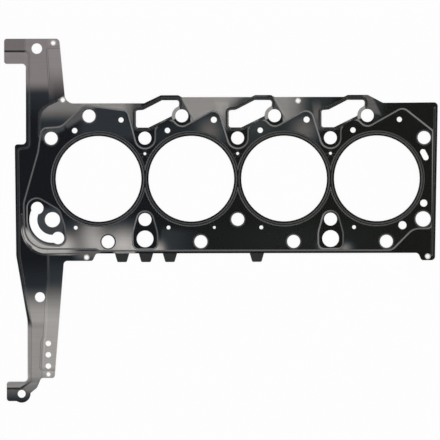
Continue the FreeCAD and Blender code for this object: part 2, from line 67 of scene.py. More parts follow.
# An input is set to a plain value, or linked to a socket or to a node's first output
def addNode(tree, kind, inputs=None, **settings):
    node = tree.nodes.new(kind)
    for name, value in settings.items():
        setattr(node, name, value)
    for name, value in (inputs or {}).items():
        source = value.outputs[0] if isinstance(value, bpy.types.Node) else value
        if isinstance(source, bpy.types.NodeSocket):
            tree.links.new(source, node.inputs[name])
        else:
            node.inputs[name].default_value = source
    return node


# Materials

def newMaterial(name):
    material = bpy.data.materials.new(name)
    material.use_nodes = True
    material.node_tree.nodes.clear()
    return material, material.node_tree


# Spring steel with a thin nitrile coat, roller coated and cured: near black and glossy on the flats, with
# pale, duller painted reflections and highlights of the bright room laid on it in patches and spots
coatedSheetLook = {
    # the coat, from the cool side's place along the row of cylinders to the warm side's
    "coatCool": "101217",
    "coatWarm": "11130f",
    "coolSide": -150 * mm,
    "warmSide": 60 * mm,
    # the painted reflection's colour, its paler clouds, the tint of faint painted reflection and of the
    # wing's
    "paintedReflection": "a8a4a1",
    "reflectionPale": "b9b5b1",
    "reflectionFaint": "95a5ae",
    "reflectionRosy": "b2a6a6",
    # amounts of painted reflection, in this order: up to the first it has the faint tint, from the second it
    # has none, at the third it is as dull as it gets, and at the fourth the wing's painted reflection has
    # all of its tint
    "thin": 0.04,
    "thick": 0.2,
    "dullAt": 0.5,
    "rosyAt": 0.1,
    "roughness": 0.12,
    "reflectionRoughness": 0.26,
    # streaks from the roller, drawn coarser than the real ones so that they show, and bands that make the
    # painted reflection uneven, both stretched along the sheet; the clouds in the painted reflection's tone
    # are wider
    "streakPitch": 0.5 * mm,
    "streakDepth": 0.0004 * mm,
    "bandPitch": 2.2 * mm,
    "bandDepth": 0.18,
    "stretch": 0.02,
    "cloudLength": 60 * mm,
    # the upward part of the direction, where a surface counts as flat and as a flank; the flanks keep less
    # painted reflection, which leaves dark lines of painted shade along the beads
    "flatFrom": 0.9997,
    "flankTo": 0.9955,
    # the height where painted reflection of each level has gone, and where all of it is there
    "levels": {"low": (1.55 * mm, 1.47 * mm), "deck": (1.61 * mm, 1.68 * mm)},
    # how far from a bore's middle the painted reflection on the deck starts, and where all of it is there
    "clearOfBores": (50.4 * mm, 51.6 * mm),
}

# Where painted reflection lies: how much of it, what share is kept off the bead flanks there as painted
# shade, and the corners in mm, anticlockwise, each with the width over which it fades in from the side that
# starts there.
# A patch lies below the raised deck, or on it, or on all levels, and a rosy one has the rosy tint.
paintedReflectionPatches = {
    "wingArm": {"amount": 0.3, "flankShade": 0.9, "rosy": True, "corners": [
        (-261, 134.5, 2), (-222.5, 134.5, 4), (-222.5, 179, 1), (-261, 179, 1)]},
    "wingArmFoot": {"amount": 0.42, "flankShade": 0.9, "rosy": True, "corners": [
        (-261, 115.5, 1), (-222.5, 115.5, 4), (-222.5, 136.5, 2), (-261, 136.5, 1)]},
    "wing": {"amount": 0.41, "flankShade": 0.45, "level": "all", "rosy": True, "corners": [
        (-227, 89.5, 16), (-199, 89.5, 2), (-201.5, 179, 1), (-227, 179, 4)]},
    "wingEdge": {"amount": 0.47, "flankShade": 0.45, "level": "all", "rosy": True, "corners": [
        (-201, 77, 46.5), (-167.5, 77, 1), (-167.5, 179, 1), (-203.5, 179, 2)]},
    "wingFoot": {"amount": 0.05, "flankShade": 0.3, "level": "all", "corners": [
        (-261, 56, 42.5), (-193, 56, 4), (-193, 107, 10.5), (-261, 107, 1)]},
    "corner": {"amount": 0.33, "flankShade": 0.6, "corners": [
        (-161, 58, 10.5), (-161, 94, 1), (-178, 94, 1), (-187.5, 87.5, 1.5), (-200.5, 79, 1.5),
        (-208, 72, 1.5), (-211.5, 62, 1.5), (-212, 58, 20)]},
    "cornerShade": {"amount": 0.045, "flankShade": 0.6, "corners": [
        (-161, 49.5, 10.5), (-161, 94, 1), (-187.5, 87.5, 1.5), (-200.5, 79, 1.5), (-208, 72, 1.5),
        (-211.5, 62, 1.5), (-212, 49.5, 1)]},
    "cornerInside": {"amount": 0.12, "level": "deck", "corners": [
        (-210, 38, 4), (-182.5, 50.5, 2), (-182.5, 60, 2), (-199.5, 56.5, 2), (-214, 47.5, 5.5)]},
    "railInside": {"amount": 0.17, "level": "deck", "corners": [
        (-181.5, 50.5, 5.5), (-163, 61, 6.5), (-147.5, 75, 3), (-154.5, 82.5, 2), (-169.5, 78, 2),
        (-185.5, 58, 3)]},
    "tabFilm": {"amount": 0.22, "flankShade": 0.7, "corners": [
        (-180, -93, 15), (-143, -93, 5.5), (-143, -75.5, 1.5), (-180, -75.5, 15)]},
    "rail": {"amount": 0.5, "flankShade": 0.8, "corners": [
        (-171.5, 50.5, 1), (-107, 50.5, 17), (-107, 94, 1), (-171.5, 94, 10.5)]},
    "slotStart": {"amount": 0.13, "corners": [
        (-113.5, 53.5, 6.5), (-103.5, 53.5, 4), (-99.5, 83.5, 4), (-119.5, 83.5, 4)]},
    "firstDeck": {"amount": 0.06, "level": "deck", "corners": [
        (-180, 37, 10.5), (-101.5, 37, 8.5), (-116.5, 79, 8.5), (-171.5, 83.5, 17)]},
    "firstBay": {"amount": 0.51, "flankShade": 0.7, "corners": [
        (-41.5, 50.5, 1), (-26, 50.5, 14), (18.5, 94, 1), (-65.5, 94, 2)]},
    "firstBayEnd": {"amount": 0.16, "flankShade": 0.6, "corners": [
        (-18, 51.5, 9.5), (-7, 51.5, 3), (-8, 83.5, 5.5), (-27.5, 86.5, 3)]},
    "firstBayFoot": {"amount": 0.22, "flankShade": 0.6, "corners": [
        (-16.5, 47.5, 10.5), (-7, 47.5, 3), (-8.5, 86.5, 17), (-23, 86.5, 3)]},
    "secondBayFoot": {"amount": 0.17, "flankShade": 0.6, "corners": [
        (82, 47.5, 8.5), (91.5, 47.5, 3), (89.5, 87.5, 19), (76.5, 87.5, 3)]},
    "slotRim": {"amount": 0.11, "flankShade": 0.6, "corners": [
        (-10.5, 70.5, 2), (-2, 68.5, 2), (32, 77, 2), (32, 93, 2), (0.5, 89, 4), (-16.5, 79, 2)]},
    "secondBay": {"amount": 0.47, "flankShade": 0.7, "corners": [
        (56.5, 50.5, 1), (79, 45, 32), (81, 94, 1), (32.5, 94, 2)]},
    "secondBayEnd": {"amount": 0.055, "corners": [
        (55.5, 60, 6.5), (102, 60, 15), (110.5, 94, 1), (55.5, 94, 6.5)]},
    "upperDeck": {"amount": 0.03, "level": "deck", "corners": [
        (-93, 30.5, 10.5), (89.5, 30.5, 10.5), (89.5, 70.5, 10.5), (-63.5, 70.5, 10.5), (-93, 56, 10.5)]},
    "thirdBay": {"amount": 0.045, "corners": [
        (142.5, 56, 8.5), (157.5, 56, 17), (168, 94, 1), (134, 94, 4)]},
    "slotEnd1": {"amount": 0.14, "corners": [
        (-63.5, 70.5, 3), (-44.5, 64.5, 3), (-57, 85.5, 3), (-65.5, 85.5, 3)]},
    "slotEnd2": {"amount": 0.14, "corners": [
        (35.5, 70.5, 3), (54.5, 64.5, 3), (41.5, 85.5, 3), (33, 85.5, 3)]},
    "slotEnd3": {"amount": 0.17, "corners": [
        (134, 70.5, 3), (155.5, 64.5, 3), (141.5, 94, 1), (130, 94, 3)]},
    "collarEnd1": {"amount": 0.48, "flankShade": 0.7, "corners": [
        (-50.5, 56, 1), (-40.5, 52, 2.5), (-51, 71.5, 1.5)]},
    "collarEnd2": {"amount": 0.44, "flankShade": 0.7, "corners": [
        (47.5, 56, 1), (58, 52, 2.5), (47, 71.5, 1.5)]},
    "leg": {"amount": 0.65, "flankShade": 0.4, "level": "all", "corners": [
        (-218.5, -160.5, 10.5), (-202, -160.5, 2), (-201, -111, 36), (-230.5, -111, 2)]},
    "legFoot": {"amount": 0.57, "flankShade": 0.4, "level": "all", "corners": [
        (-247, -222.5, 15), (-209, -222.5, 2), (-203.5, -176.5, 2), (-201.5, -150, 10.5), (-247, -150, 1)]},
    "legRear": {"amount": 0.72, "flankShade": 0.4, "level": "all", "corners": [
        (-210, -226.5, 23.5), (-178, -226.5, 1), (-178, -104.5, 49), (-204, -104.5, 2)]},
    "legShade": {"amount": 0.035, "level": "all", "corners": [
        (-247, -160.5, 21), (-201, -160.5, 2), (-201, -82, 32), (-247, -82, 1)]},
    "legRearShade": {"amount": 0.06, "level": "all", "corners": [
        (-203, -160.5, 42.5), (-178, -160.5, 1), (-178, -73.5, 32), (-203, -73.5, 2)]},
    "footLobe": {"amount": 0.15, "flankShade": 0.9, "corners": [
        (-227, -228.5, 5.5), (-212, -228.5, 2), (-212, -211.5, 3), (-231, -218, 4)]},
    "footTop": {"amount": 0.36, "flankShade": 0.9, "corners": [
        (-261, -222.5, 2), (-227, -222.5, 4), (-216.5, -207.5, 1), (-227, -205.5, 1), (-261, -205.5, 1)]},
    "foot": {"amount": 0.21, "flankShade": 0.9, "corners": [
        (-261, -239.5, 18), (-204.5, -239.5, 8.5), (-204.5, -214, 2), (-261, -220, 1)]},
    "kidneyCorner": {"amount": 0.85, "level": "deck", "corners": [
        (-231, -57.5, 1.5), (-227, -67, 1.5), (-220, -74, 1.5), (-211.5, -78.5, 1.5), (-203.5, -79, 1.5),
        (-180, -79, 2), (-188.5, -68.5, 2), (-219.5, -49, 8.5), (-231, -49, 1.5)]},
    "bandTop": {"amount": 0.8, "flankShade": 0.8, "corners": [
        (-230, -57.5, 1.5), (-226, -68.5, 2), (-219.5, -62, 2), (-224.5, -47, 9.5), (-231, -47, 1.5)]},
    "bandCorner": {"amount": 0.85, "flankShade": 0.8, "corners": [
        (-226, -66.5, 1.5), (-219.5, -74, 1.5), (-213, -77.5, 2), (-209.5, -72.5, 2), (-215, -69, 2),
        (-224.5, -57.5, 2), (-230.5, -62.5, 1.5)]},
    "bandFoot": {"amount": 0.85, "flankShade": 0.8, "corners": [
        (-221, -75.5, 1.5), (-211.5, -79.5, 1.5), (-201.5, -79.5, 2.5), (-201.5, -72.5, 2),
        (-217, -67.5, 2)]},
    "outerBand": {"amount": 0.8, "flankShade": 0.8, "corners": [
        (-204.5, -79.5, 1.5), (-165.5, -79.5, 21), (-165.5, -73.5, 1), (-204.5, -73.5, 3)]},
    "frontDeckShade": {"amount": 0.09, "level": "deck", "corners": [
        (-192, -80, 1.5), (-103.5, -80, 1), (-103.5, -35.5, 27.5), (-192, -35.5, 3)]},
    "frontEdge": {"amount": 0.5, "flankShade": 0.8, "corners": [
        (-134.5, -80, 1.5), (-107, -80, 4), (-107, -72.5, 1), (-134.5, -72.5, 6.5)]},
    "dowelLand": {"amount": 0.11, "level": "low", "corners": [
        (-217.5, -76, 4), (-184.5, -76, 3), (-182.5, -27, 8.5), (-217.5, -27, 3)]},
    "drainShade": {"amount": 0.055, "level": "deck", "corners": [
        (-84.5, -78, 1.5), (-33.5, -78, 40.5), (-33.5, -52.5, 8.5), (-82.5, -48, 4)]},
}

# Rounder spots of painted highlight on the raised deck, in mm: most at the centre, next to none at the reach
# in x and y
paintedHighlightSpots = {
    "firstPeak": {"amount": 0.19, "centre": (-29.5, 50.5), "reach": (27.5, 32)},
    "secondPeak": {"amount": 0.2, "centre": (70.5, 51.5), "reach": (29.5, 32)},
    "secondBayStart": {"amount": 0.055, "centre": (21.5, 56), "reach": (38, 32)},
    "frontDeck": {"amount": 0.62, "centre": (-154.5, -66), "reach": (27.5, 46.5)},
    "frontDrainBolt": {"amount": 0.65, "centre": (-147.5, -71.5), "reach": (19, 19)},
    "frontDeckRear": {"amount": 0.97, "centre": (-122, -71.5), "reach": (36, 32)},
    "kidneyEnd": {"amount": 0.98, "centre": (-185.5, -72.5), "reach": (27.5, 23.5)},
    "drainFront": {"amount": 0.9, "centre": (-108, -77), "reach": (15, 21)},
    "drainRear": {"amount": 0.9, "centre": (-85.5, -77), "reach": (15, 19)},
    "drainFoot": {"amount": 0.6, "centre": (-97.5, -78), "reach": (27.5, 11.5)},
    "secondDrainFront": {"amount": 0.3, "centre": (90.5, -72.5), "reach": (10.5, 10.5)},
    "secondDrainRear": {"amount": 0.3, "centre": (114, -73.5), "reach": (14, 10.5)},
    "rearDeck": {"amount": 0.018, "centre": (66, -65), "reach": (201.5, 42.5)},
}


# Painted reflection in the patch at a point: all of it further in from each side than that side's width
def patchAmount(tree, position, levels, patch):
    level = levels[patch.get("level", "low")]
    amount = addNode(tree, "ShaderNodeMath", {0: level, 1: patch["amount"]}, operation="MULTIPLY")
    corners = patch["corners"]
    for (x1, y1, fade), (x2, y2, _) in zip(corners, corners[1:] + corners[:1]):
        side = math.hypot(x2 - x1, y2 - y1)
        inward = ((y1 - y2) / side, (x2 - x1) / side, 0)
        edge = inward[0] * x1 + inward[1] * y1
        reach = addNode(tree, "ShaderNodeVectorMath", {0: position, 1: inward}, operation="DOT_PRODUCT")
        amount = addNode(tree, "ShaderNodeMapRange", {
            "Value": reach.outputs["Value"], "From Min": edge * mm, "From Max": (edge + fade) * mm,
            "To Max": amount}, interpolation_type="SMOOTHSTEP")
    return amount


spotEdge = 0.01  # the share of a spot's painted highlight that is left at its reach


# Painted highlight in the spot at a point: most in the middle, falling away in a bell shape
def spotAmount(tree, position, levels, spot):
    centre = [part * mm for part in spot["centre"]] + [0]
    reach = [part * mm for part in spot["reach"]] + [1]
    scaled = addNode(tree, "ShaderNodeMapping", {"Vector": position, "Location": centre, "Scale": reach},
                     vector_type="TEXTURE")
    away = addNode(tree, "ShaderNodeVectorMath", {0: scaled, 1: scaled}, operation="DOT_PRODUCT")
    bell = addNode(tree, "ShaderNodeMath", {0: spotEdge, 1: away.outputs["Value"]}, operation="POWER")
    whole = addNode(tree, "ShaderNodeMath", {0: bell, 1: spot["amount"]}, operation="MULTIPLY")
    return addNode(tree, "ShaderNodeMath", {0: whole, 1: levels["deck"]}, operation="MULTIPLY")


# None of the deck's painted reflection on the fire bead round the nearest bore, and all of it further out
def awayFromBores(tree, position, clear):
    rings = sorted(name for name in cadNodes if name.startswith("stopper_ring"))
    bores = [(low.x + high.x) / 2 for low, high in map(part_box, rings)]
    pitch = bores[1] - bores[0]
    place = addNode(tree, "ShaderNodeSeparateXYZ", {0: position}).outputs
    steps = addNode(tree, "ShaderNodeMapRange", {"Value": place["X"], "From Min": bores[0],
                                                 "From Max": bores[-1], "To Max": len(bores) - 1})
    nearest = addNode(tree, "ShaderNodeMath", {0: steps}, operation="ROUND")
    along = addNode(tree, "ShaderNodeMath", {0: nearest, 1: pitch, 2: bores[0]}, operation="MULTIPLY_ADD")
    bore = addNode(tree, "ShaderNodeCombineXYZ", {"X": along, "Z": place["Z"]})
    away = addNode(tree, "ShaderNodeVectorMath", {0: position, 1: bore}, operation="DISTANCE")
    return addNode(tree, "ShaderNodeMapRange", {"Value": away.outputs["Value"], "From Min": clear[0],
                                                "From Max": clear[1]}, interpolation_type="SMOOTHSTEP")


def reflectionLevels(tree, position, look):
    height = addNode(tree, "ShaderNodeSeparateXYZ", {0: position}).outputs["Z"]
    levels = {"all": 1.0}
    for level, (gone, there) in look["levels"].items():
        levels[level] = addNode(tree, "ShaderNodeMapRange", {"Value": height, "From Min": gone,
                                                             "From Max": there},
                                interpolation_type="SMOOTHSTEP")
    clear = awayFromBores(tree, position, look["clearOfBores"])
    levels["deck"] = addNode(tree, "ShaderNodeMath", {0: levels["deck"], 1: clear}, operation="MULTIPLY")
    return levels


# Painted reflection over painted reflection: as much as on flats, less on bead flanks as painted shade, and
# the rosy part
def paintReflections(tree, position, look):
    levels = reflectionLevels(tree, position, look)
    normal = addNode(tree, "ShaderNodeNewGeometry").outputs["Normal"]
    upright = addNode(tree, "ShaderNodeSeparateXYZ", {0: normal}).outputs["Z"]
    flank = addNode(tree, "ShaderNodeMapRange", {"Value": upright, "From Min": look["flatFrom"],
                                                 "From Max": look["flankTo"]},
                    interpolation_type="SMOOTHSTEP")
    layers = [(patchAmount(tree, position, levels, patch), patch) for patch in paintedReflectionPatches.values()]
    layers += [(spotAmount(tree, position, levels, spot), spot) for spot in paintedHighlightSpots.values()]
    spread = paintedReflection = rosy = 0.0
    for amount, layer in layers:
        # bead flanks keep less of the painted reflection, which paints them dark as painted shade
        kept = addNode(tree, "ShaderNodeMath", {0: flank, 1: -layer.get("flankShade", 1.0), 2: 1.0},
                       operation="MULTIPLY_ADD")
        left = addNode(tree, "ShaderNodeMath", {0: amount, 1: kept}, operation="MULTIPLY")
        spread = addNode(tree, "ShaderNodeMix", {"Factor": amount, "A": spread, "B": 1.0})
        paintedReflection = addNode(tree, "ShaderNodeMix", {"Factor": left, "A": paintedReflection, "B": 1.0})
        if layer.get("rosy"):
            rosy = addNode(tree, "ShaderNodeMix", {"Factor": amount, "A": rosy, "B": 1.0})
    return spread, paintedReflection, rosy


def coatedSheetMaterial(look):
    material, tree = newMaterial("nitrileCoatedSpringSteel")
    position = addNode(tree, "ShaderNodeTexCoord").outputs["Object"]
    spread, paintedReflection, rosy = paintReflections(tree, position, look)
    stretched = addNode(tree, "ShaderNodeMapping", {"Vector": position, "Scale": (look["stretch"], 1, 1)})
    streaks = addNode(tree, "ShaderNodeTexNoise", {"Vector": stretched, "Scale": 1 / look["streakPitch"],
                                                   "Detail": 3.0})
    bands = addNode(tree, "ShaderNodeTexNoise", {"Vector": stretched, "Scale": 1 / look["bandPitch"],
                                                 "Detail": 2.0})
    clouds = addNode(tree, "ShaderNodeTexNoise", {"Vector": position, "Scale": 1 / look["cloudLength"],
                                                  "Detail": 2.0})
    along = addNode(tree, "ShaderNodeSeparateXYZ", {0: position}).outputs["X"]
    warm = addNode(tree, "ShaderNodeMapRange", {"Value": along, "From Min": look["coolSide"],
                                                "From Max": look["warmSide"]},
                   interpolation_type="SMOOTHSTEP")
    # in a mix of colours, inputs 6 and 7 take the colours and output 2 gives the result
    coat = addNode(tree, "ShaderNodeMix", {"Factor": warm, 6: hexColour(look["coatCool"]),
                                           7: hexColour(look["coatWarm"])}, data_type="RGBA").outputs[2]
    thinness = addNode(tree, "ShaderNodeMapRange", {"Value": spread, "From Min": look["thick"],
                                                    "From Max": look["thin"]},
                       interpolation_type="SMOOTHSTEP")
    rosiness = addNode(tree, "ShaderNodeMapRange", {"Value": rosy, "From Max": look["rosyAt"]},
                       interpolation_type="SMOOTHSTEP")
    pale = hexColour(look["paintedReflection"])
    for factor, tint in ((clouds, "reflectionPale"), (thinness, "reflectionFaint"), (rosiness, "reflectionRosy")):
        pale = addNode(tree, "ShaderNodeMix", {"Factor": factor, 6: pale, 7: hexColour(look[tint])},
                       data_type="RGBA").outputs[2]
    uneven = addNode(tree, "ShaderNodeMath", {0: bands, 1: look["bandDepth"], 2: 1 - look["bandDepth"] / 2},
                     operation="MULTIPLY_ADD")
    # the pale painted reflection is laid over the dark coat, uneven in bands
    reflectionShare = addNode(tree, "ShaderNodeMath", {0: paintedReflection, 1: uneven}, operation="MULTIPLY")
    colour = addNode(tree, "ShaderNodeMix", {"Factor": reflectionShare, 6: coat, 7: pale}, data_type="RGBA").outputs[2]
    rough = addNode(tree, "ShaderNodeMapRange", {
        "Value": spread, "From Max": look["dullAt"], "To Min": look["roughness"],
        "To Max": look["reflectionRoughness"]}, interpolation_type="SMOOTHSTEP")
    bump = addNode(tree, "ShaderNodeBump", {"Height": streaks, "Distance": look["streakDepth"],
                                            "Strength": 1.0})
    shader = addNode(tree, "ShaderNodeBsdfPrincipled", {"Base Color": colour, "Roughness": rough,
                                                        "Normal": bump})
    addNode(tree, "ShaderNodeOutputMaterial", {"Surface": shader})
    return material


# Cold-rolled steel, bare: satin grey with a fine grain along the sheet, drawn coarser than the real
# grain so that it shows, and duller in some grains than in others
stopperLook = {"steel": "b4b3b1", "shade": "9a9997", "roughness": (0.24, 0.38), "grainPitch": 0.3 * mm}

# Hollow rivets drawn from thin strip: the same satin steel, a little darker
rivetLook = {"steel": "a5a4a1", "shade": "85847f", "roughness": (0.28, 0.42), "grainPitch": 0.2 * mm}

# The carrier is bare where it shows beside the slots, and keeps its dark coat on the teeth below the
# deck: coatEdge is how far up the coat starts to give way, and where it is gone
carrierLook = {"steel": "7b7a78", "shade": "6a6967", "roughness": (0.36, 0.5), "grainPitch": 0.4 * mm,
               "coat": "272929", "coatRoughness": 0.16, "coatEdge": (-20 * mm, 10 * mm)}
steelGrain = {"stretch": 0.03, "depth": 0.001 * mm}


def rolledSteelMaterial(name, look):
    material, tree = newMaterial(name)
    position = addNode(tree, "ShaderNodeTexCoord").outputs["Object"]
    stretched = addNode(tree, "ShaderNodeMapping", {"Vector": position,
                                                    "Scale": (steelGrain["stretch"], 1, 1)})
    grain = addNode(tree, "ShaderNodeTexNoise", {"Vector": stretched, "Scale": 1 / look["grainPitch"],
                                                 "Detail": 4.0})
    colour = addNode(tree, "ShaderNodeMix", {"Factor": grain, 6: hexColour(look["steel"]),
                                             7: hexColour(look["shade"])}, data_type="RGBA").outputs[2]
    rough = addNode(tree, "ShaderNodeMapRange", {"Value": grain, "To Min": look["roughness"][0],
                                                 "To Max": look["roughness"][1]})
    metal = 1.0
    if "coat" in look:
        up = addNode(tree, "ShaderNodeSeparateXYZ", {0: position}).outputs["Y"]
        metal = addNode(tree, "ShaderNodeMapRange", {"Value": up, "From Min": look["coatEdge"][0],
                                                     "From Max": look["coatEdge"][1]},
                        interpolation_type="SMOOTHSTEP")
        colour = addNode(tree, "ShaderNodeMix", {"Factor": metal, 6: hexColour(look["coat"]), 7: colour},
                         data_type="RGBA").outputs[2]
        rough = addNode(tree, "ShaderNodeMix", {"Factor": metal, "A": look["coatRoughness"], "B": rough})
    bump = addNode(tree, "ShaderNodeBump", {"Height": grain, "Distance": steelGrain["depth"],
                                            "Strength": 1.0})
    shader = addNode(tree, "ShaderNodeBsdfPrincipled", {"Base Color": colour, "Metallic": metal,
                                                        "Roughness": rough, "Normal": bump})
    addNode(tree, "ShaderNodeOutputMaterial", {"Surface": shader})
    return material


coatedSheet = coatedSheetMaterial(coatedSheetLook)
carrierSteel = rolledSteelMaterial("rolledCarrierSteel", carrierLook)
stopperSteel = rolledSteelMaterial("stainlessShimSteel", stopperLook)
rivetSteel = rolledSteelMaterial("drawnRivetSteel", rivetLook)
print("materials made")


# Geometry trees and the pieces made from them

def newTree(name, inputs):
    tree = bpy.data.node_groups.new(name, "GeometryNodeTree")
    tree.interface.new_socket("Geometry", in_out="INPUT", socket_type="NodeSocketGeometry")
    for socket, kind in inputs.items():
        tree.interface.new_socket(socket, in_out="INPUT", socket_type="NodeSocket" + kind)
    tree.interface.new_socket("Geometry", in_out="OUTPUT", socket_type="NodeSocketGeometry")
    return tree, addNode(tree, "NodeGroupInput").outputs


def finishTree(tree, shape, material):
    realized = addNode(tree, "GeometryNodeRealizeInstances", {"Geometry": shape})
    dressed = addNode(tree, "GeometryNodeSetMaterial", {"Geometry": realized, "Material": material})
    addNode(tree, "NodeGroupOutput", {"Geometry": dressed})


def runTree(name, mesh, tree, values):
    holder = bpy.data.objects.new(name + "Holder", mesh)
    bpy.context.scene.collection.objects.link(holder)
    modifier = holder.modifiers.new("shape", "NODES")
    modifier.node_group = tree
    for item in tree.interface.items_tree:
        if item.in_out == "INPUT" and item.name in values:
            modifier[item.identifier] = values[item.name]
    evaluated = holder.evaluated_get(bpy.context.evaluated_depsgraph_get())
    result = bpy.data.meshes.new_from_object(evaluated)
    holder.modifiers.remove(modifier)
    bpy.data.objects.remove(holder)
    result.name = name
    return result


def placePiece(name, mesh, nodes):
    piece = bpy.data.objects.new(name, mesh)
    bpy.context.scene.collection.objects.link(piece)
    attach(piece, "root")
    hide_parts(*nodes)
    return piece


# Edges that turn by more than this stay sharp, and large faces outweigh small ones by this much
shading = {"sharpAngle": math.radians(40), "areaWeight": 100}


# Embossed sheets: the beads' straight flanks become smooth ones, each drawn in this many steps

embossedSheets = {
    "upper_layer": {"piece": "upperSheet", "steps": 5},
    "lower_layer": {"piece": "lowerSheet", "steps": 3},
}
mergeDistance = 0.002 * mm  # points nearer than this become one
cutTolerance = 0.0001 * mm  # a point nearer than this to a cut counts as on it
levelTolerance = 0.0001  # a point less than this share of a bead's height below a level is on it


# The foot level and the bead's height, which is the sheet's thickness too, so that the box holds two
def levelsOf(node):
    low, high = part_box(node)
    return low.z, (high.z - low.z) / 2


# Cuts a merged copy of the node at heights between its levels, which adds lines along each flank
def cutCopy(node, steps):
    mesh = bpy.data.meshes.new(node + "_cut")
    work = bmesh.new()
    work.from_mesh(cadNodes[node].data)
    bmesh.ops.remove_doubles(work, verts=work.verts, dist=mergeDistance)
    foot, height = levelsOf(node)
    for i in range(1, 2 * steps):
        if i != steps:
            level = foot + height * i / steps
            everything = work.verts[:] + work.edges[:] + work.faces[:]
            bmesh.ops.bisect_plane(work, geom=everything, dist=cutTolerance, plane_co=(0, 0, level),
                                   plane_no=(0, 0, 1))
    bmesh.ops.triangulate(work, faces=[f for f in work.faces if len(f.verts) > 4])
    work.to_mesh(mesh)
    work.free()
    return mesh


# Node tree that gives each flank an even S shape between the foot level and the crest level
def roundBeadsTree():
    inputs = {"Foot level": "Float", "Bead height": "Float", "Material": "Material"}
    tree, given = newTree("roundBeads", inputs)
    position = addNode(tree, "GeometryNodeInputPosition")
    place = addNode(tree, "ShaderNodeSeparateXYZ", {0: position}).outputs
    rise = addNode(tree, "ShaderNodeMath", {0: place["Z"], 1: given["Foot level"]}, operation="SUBTRACT")
    share = addNode(tree, "ShaderNodeMath", {0: rise, 1: given["Bead height"]}, operation="DIVIDE")
    nudged = addNode(tree, "ShaderNodeMath", {0: share, 1: levelTolerance}, operation="ADD")
    whole = addNode(tree, "ShaderNodeMath", {0: nudged}, operation="FLOOR")
    part = addNode(tree, "ShaderNodeMath", {0: share, 1: whole}, operation="SUBTRACT")
    smooth = addNode(tree, "ShaderNodeMapRange", {"Value": part}, interpolation_type="SMOOTHSTEP")
    eased = addNode(tree, "ShaderNodeMath", {0: whole, 1: smooth}, operation="ADD")
    height = addNode(tree, "ShaderNodeMath", {0: eased, 1: given["Bead height"], 2: given["Foot level"]},
                     operation="MULTIPLY_ADD")
    moved = addNode(tree, "ShaderNodeCombineXYZ", {"X": place["X"], "Y": place["Y"], "Z": height})
    shaped = addNode(tree, "GeometryNodeSetPosition", {"Geometry": given["Geometry"], "Position": moved})
    finishTree(tree, shaped, given["Material"])
    return tree


# Flat faces keep their own direction and the flanks turn smoothly into them
def smoothByArea(piece):
    mesh = piece.data
    mesh.shade_smooth()
    mesh.set_sharp_from_angle(angle=shading["sharpAngle"])
    weighted = piece.modifiers.new("byArea", "WEIGHTED_NORMAL")
    weighted.keep_sharp = True
    weighted.weight = shading["areaWeight"]
    evaluated = piece.evaluated_get(bpy.context.evaluated_depsgraph_get())
    piece.data = bpy.data.meshes.new_from_object(evaluated)
    piece.modifiers.clear()


def makeEmbossedSheets():
    tree = roundBeadsTree()
    for node, sheet in embossedSheets.items():
        foot, height = levelsOf(node)
        cut = cutCopy(node, sheet["steps"])
        mesh = runTree(sheet["piece"], cut, tree, {"Foot level": foot, "Bead height": height,
                                                   "Material": coatedSheet})
        piece = placePiece(sheet["piece"], mesh, [node])
        smoothByArea(piece)
        print(sheet["piece"], len(piece.data.polygons), "faces")


makeEmbossedSheets()


# Hollow rivets: a thin barrel with a rolled lip at each end. Rounding is a share of the thinner side
# of a section, and each of its corners is rounded in that many steps.

rivets = {
    "Hole radius": 2.0 * mm,
    "Wall": 0.28 * mm,
    "Lip radius": 3.1 * mm,
    "Lip thickness": 0.15 * mm,
    "Rounding": 0.42,
    "Corner steps": 4,
    "Segments": 40,
}


# A ring round the hole, of rectangular section with rounded corners
def roundedRing(tree, given, outer, thickness, level):
    hole = given["Hole radius"]
    across = addNode(tree, "ShaderNodeMath", {0: hole, 1: outer}, operation="ADD")
    middle = addNode(tree, "ShaderNodeMath", {0: across, 1: 0.5}, operation="MULTIPLY")
    width = addNode(tree, "ShaderNodeMath", {0: outer, 1: hole}, operation="SUBTRACT")
    thinner = addNode(tree, "ShaderNodeMath", {0: width, 1: thickness}, operation="MINIMUM")
    rounding = addNode(tree, "ShaderNodeMath", {0: thinner, 1: given["Rounding"]}, operation="MULTIPLY")
    path = addNode(tree, "GeometryNodeCurvePrimitiveCircle", {"Resolution": given["Segments"],
                                                              "Radius": middle})
    outline = addNode(tree, "GeometryNodeCurvePrimitiveQuadrilateral", {"Width": width,
                                                                        "Height": thickness})
    soft = addNode(tree, "GeometryNodeFilletCurve", {"Curve": outline, "Radius": rounding,
                                                     "Count": given["Corner steps"]}, mode="POLY")
    ring = addNode(tree, "GeometryNodeCurveToMesh", {"Curve": path, "Profile Curve": soft})
    up = addNode(tree, "ShaderNodeCombineXYZ", {"Z": level})
    return addNode(tree, "GeometryNodeTransform", {"Geometry": ring, "Translation": up})


def hollowRivetTree():
    sizes = ("Hole radius", "Wall", "Lip radius", "Lip thickness", "Rounding", "Height")
    inputs = {**dict.fromkeys(sizes, "Float"), "Corner steps": "Int", "Segments": "Int",
              "Material": "Material"}
    tree, given = newTree("hollowRivets", inputs)
    barrel = addNode(tree, "ShaderNodeMath", {0: given["Hole radius"], 1: given["Wall"]}, operation="ADD")
    apart = addNode(tree, "ShaderNodeMath", {0: given["Height"], 1: given["Lip thickness"]},
                    operation="SUBTRACT")
    rings = [roundedRing(tree, given, barrel, given["Height"], 0.0)]
    for end in (0.5, -0.5):
        level = addNode(tree, "ShaderNodeMath", {0: apart, 1: end}, operation="MULTIPLY")
        rings.append(roundedRing(tree, given, given["Lip radius"], given["Lip thickness"], level))
    joined = addNode(tree, "GeometryNodeJoinGeometry")
    for ring in rings:
        tree.links.new(ring.outputs[0], joined.inputs[0])
    placed = addNode(tree, "GeometryNodeInstanceOnPoints", {"Points": given["Geometry"],
                                                            "Instance": joined})
    finishTree(tree, placed, given["Material"])
    return tree


